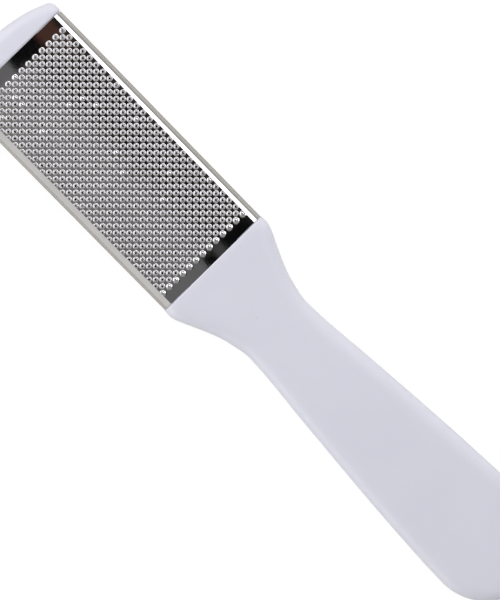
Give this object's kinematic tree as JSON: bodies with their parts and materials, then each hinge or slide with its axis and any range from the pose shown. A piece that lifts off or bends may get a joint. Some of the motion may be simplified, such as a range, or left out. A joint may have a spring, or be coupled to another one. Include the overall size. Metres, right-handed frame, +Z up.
{
  "type": "two-sided foot rasp",
  "caption": "Paddle-handled foot rasp with a pierced steel rasp plate on each face, held on a ribbed core between the handle's shoulder and a rounded end cap.",
  "frame": {"origin": "middle of the file's length and width, on the surface that its lower face lies on", "axes": "+X along the file from the handle towards the end cap, +Y across it, +Z up through the coarse rasp plate"},
  "size_m": [0.2576, 0.0452, 0.0112],
  "materials": {
    "handle_plastic": "white moulded plastic, soft satin gloss",
    "core_plastic": "white moulded plastic, unpolished",
    "rasp_steel": "polished stainless steel sheet, pierced"
  },
  "bodies": {
    "root": {"handle_upper_shell": "handle_plastic", "handle_lower_shell": "handle_plastic", "head_core": "core_plastic", "end_cap": "handle_plastic", "coarse_rasp_plate": "rasp_steel", "fine_rasp_plate": "rasp_steel"}
  },
  "joints": []
}
